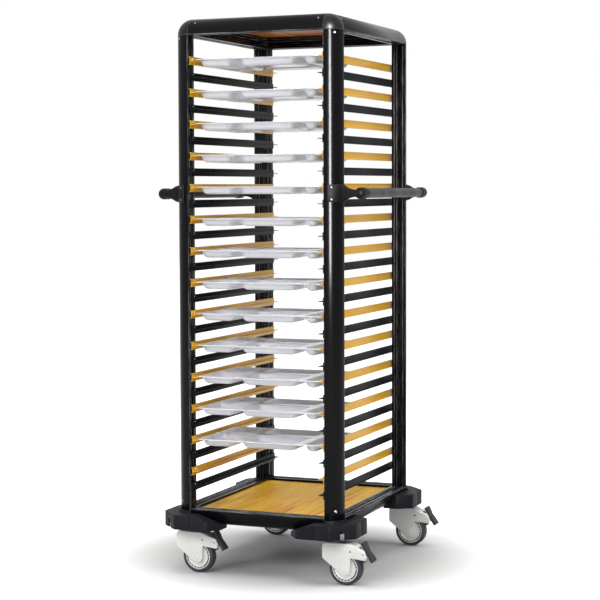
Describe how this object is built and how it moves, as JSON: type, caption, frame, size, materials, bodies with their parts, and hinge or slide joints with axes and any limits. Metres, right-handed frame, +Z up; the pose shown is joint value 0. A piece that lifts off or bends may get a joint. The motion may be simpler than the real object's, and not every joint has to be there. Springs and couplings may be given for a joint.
{
  "type": "tray trolley",
  "caption": "Tall tray trolley: quarter-round extruded frame with paired slides holding moulded trays, side push handles, corner bumpers and braked swivel casters.",
  "frame": {"origin": "on the floor, at the middle of the overall length and width as the trolley stands with its casters trailing to the right", "axes": "+X to the trolley's right, +Y to its rear, +Z up; the trays slide out of the front along -Y"},
  "size_m": [0.7048, 0.769, 1.685],
  "materials": {
    "frame_black": "black anodised, satin",
    "roof_board": "orange-brown board",
    "deck_board": "golden wood grain board",
    "slide_golden": "golden anodised",
    "slide_black": "black anodised",
    "bumper_charcoal": "fine grained moulding",
    "handle_grip": "smooth grey sleeve",
    "handle_black": "satin black moulding",
    "tray_white": "glossy white",
    "caster_white": "white moulding",
    "hub_white": "white moulding",
    "tyre_grey": "slate grey tread",
    "pedal_grey": "dark grey moulding",
    "stem_white": "white coated steel"
  },
  "bodies": {
    "frame": {"base_rail_front": "frame_black", "base_rail_left": "frame_black", "base_rail_rear": "frame_black", "base_rail_right": "frame_black", "bumper_front_left": "bumper_charcoal", "bumper_front_right": "bumper_charcoal", "bumper_rear_left": "bumper_charcoal", "bumper_rear_right": "bumper_charcoal", "caster_stems": "stem_white", "corner_castings": "frame_black", "deck_panel": "deck_board", "handle_bar_left": "handle_grip", "handle_bar_right": "handle_grip", "handle_brackets": "handle_black", "post_front_left": "frame_black", "post_front_right": "frame_black", "post_rear_left": "frame_black", "post_rear_right": "frame_black", "roof_panel": "roof_board", "slides_black_left": "slide_black", "slides_black_right": "slide_black", "slides_golden_left": "slide_golden", "slides_golden_right": "slide_golden", "top_rail_front": "frame_black", "top_rail_left": "frame_black", "top_rail_rear": "frame_black", "top_rail_right": "frame_black"},
    "fork_front_left": {"caster_housing_front_left": "caster_white"},
    "wheel_front_left": {"wheel_hub_front_left": "hub_white", "tyre_front_left": "tyre_grey"},
    "pedal_front_left": {"brake_pedal_front_left": "pedal_grey"},
    "fork_front_right": {"caster_housing_front_right": "caster_white"},
    "wheel_front_right": {"wheel_hub_front_right": "hub_white", "tyre_front_right": "tyre_grey"},
    "pedal_front_right": {"brake_pedal_front_right": "pedal_grey"},
    "fork_rear_left": {"caster_housing_rear_left": "caster_white"},
    "wheel_rear_left": {"wheel_hub_rear_left": "hub_white", "tyre_rear_left": "tyre_grey"},
    "pedal_rear_left": {"brake_pedal_rear_left": "pedal_grey"},
    "fork_rear_right": {"caster_housing_rear_right": "caster_white"},
    "wheel_rear_right": {"wheel_hub_rear_right": "hub_white", "tyre_rear_right": "tyre_grey"},
    "pedal_rear_right": {"brake_pedal_rear_right": "pedal_grey"},
    "tray_01": {"tray_01": "tray_white"},
    "tray_02": {"tray_02": "tray_white"},
    "tray_03": {"tray_03": "tray_white"},
    "tray_04": {"tray_04": "tray_white"},
    "tray_05": {"tray_05": "tray_white"},
    "tray_06": {"tray_06": "tray_white"},
    "tray_07": {"tray_07": "tray_white"},
    "tray_08": {"tray_08": "tray_white"},
    "tray_09": {"tray_09": "tray_white"},
    "tray_10": {"tray_10": "tray_white"},
    "tray_11": {"tray_11": "tray_white"},
    "tray_12": {"tray_12": "tray_white"},
    "tray_13": {"tray_13": "tray_white"}
  },
  "joints": [
    {"name": "swivel_front_left", "type": "hinge", "parent": "frame", "child": "fork_front_left", "pos_m": [-0.25541, -0.311, 0.126], "axis": [0, 0, 1], "continuous": true},
    {"name": "roll_front_left", "type": "hinge", "parent": "fork_front_left", "child": "wheel_front_left", "pos_m": [-0.21541, -0.311, 0.05], "axis": [0, 1, 0], "continuous": true},
    {"name": "brake_front_left", "type": "hinge", "parent": "fork_front_left", "child": "pedal_front_left", "pos_m": [-0.15441, -0.311, 0.101], "axis": [0, 1, 0], "range_deg": [0, 12]},
    {"name": "swivel_front_right", "type": "hinge", "parent": "frame", "child": "fork_front_right", "pos_m": [0.22259, -0.311, 0.126], "axis": [0, 0, 1], "continuous": true},
    {"name": "roll_front_right", "type": "hinge", "parent": "fork_front_right", "child": "wheel_front_right", "pos_m": [0.26259, -0.311, 0.05], "axis": [0, 1, 0], "continuous": true},
    {"name": "brake_front_right", "type": "hinge", "parent": "fork_front_right", "child": "pedal_front_right", "pos_m": [0.32359, -0.311, 0.101], "axis": [0, 1, 0], "range_deg": [0, 12]},
    {"name": "swivel_rear_left", "type": "hinge", "parent": "frame", "child": "fork_rear_left", "pos_m": [-0.25541, 0.311, 0.126], "axis": [0, 0, 1], "continuous": true},
    {"name": "roll_rear_left", "type": "hinge", "parent": "fork_rear_left", "child": "wheel_rear_left", "pos_m": [-0.21541, 0.311, 0.05], "axis": [0, 1, 0], "continuous": true},
    {"name": "brake_rear_left", "type": "hinge", "parent": "fork_rear_left", "child": "pedal_rear_left", "pos_m": [-0.15441, 0.311, 0.101], "axis": [0, 1, 0], "range_deg": [0, 12]},
    {"name": "swivel_rear_right", "type": "hinge", "parent": "frame", "child": "fork_rear_right", "pos_m": [0.22259, 0.311, 0.126], "axis": [0, 0, 1], "continuous": true},
    {"name": "roll_rear_right", "type": "hinge", "parent": "fork_rear_right", "child": "wheel_rear_right", "pos_m": [0.26259, 0.311, 0.05], "axis": [0, 1, 0], "continuous": true},
    {"name": "brake_rear_right", "type": "hinge", "parent": "fork_rear_right", "child": "pedal_rear_right", "pos_m": [0.32359, 0.311, 0.101], "axis": [0, 1, 0], "range_deg": [0, 12]},
    {"name": "slide_01", "type": "slide", "parent": "frame", "child": "tray_01", "axis": [0, -1, 0], "range_m": [-0.33, 0.25]},
    {"name": "slide_02", "type": "slide", "parent": "frame", "child": "tray_02", "axis": [0, -1, 0], "range_m": [-0.33, 0.25]},
    {"name": "slide_03", "type": "slide", "parent": "frame", "child": "tray_03", "axis": [0, -1, 0], "range_m": [-0.33, 0.25]},
    {"name": "slide_04", "type": "slide", "parent": "frame", "child": "tray_04", "axis": [0, -1, 0], "range_m": [-0.33, 0.25]},
    {"name": "slide_05", "type": "slide", "parent": "frame", "child": "tray_05", "axis": [0, -1, 0], "range_m": [-0.33, 0.25]},
    {"name": "slide_06", "type": "slide", "parent": "frame", "child": "tray_06", "axis": [0, -1, 0], "range_m": [-0.33, 0.25]},
    {"name": "slide_07", "type": "slide", "parent": "frame", "child": "tray_07", "axis": [0, -1, 0], "range_m": [-0.33, 0.25]},
    {"name": "slide_08", "type": "slide", "parent": "frame", "child": "tray_08", "axis": [0, -1, 0], "range_m": [-0.33, 0.25]},
    {"name": "slide_09", "type": "slide", "parent": "frame", "child": "tray_09", "axis": [0, -1, 0], "range_m": [-0.33, 0.25]},
    {"name": "slide_10", "type": "slide", "parent": "frame", "child": "tray_10", "axis": [0, -1, 0], "range_m": [-0.33, 0.25]},
    {"name": "slide_11", "type": "slide", "parent": "frame", "child": "tray_11", "axis": [0, -1, 0], "range_m": [-0.33, 0.25]},
    {"name": "slide_12", "type": "slide", "parent": "frame", "child": "tray_12", "axis": [0, -1, 0], "range_m": [-0.33, 0.25]},
    {"name": "slide_13", "type": "slide", "parent": "frame", "child": "tray_13", "axis": [0, -1, 0], "range_m": [-0.33, 0.25]}
  ]
}
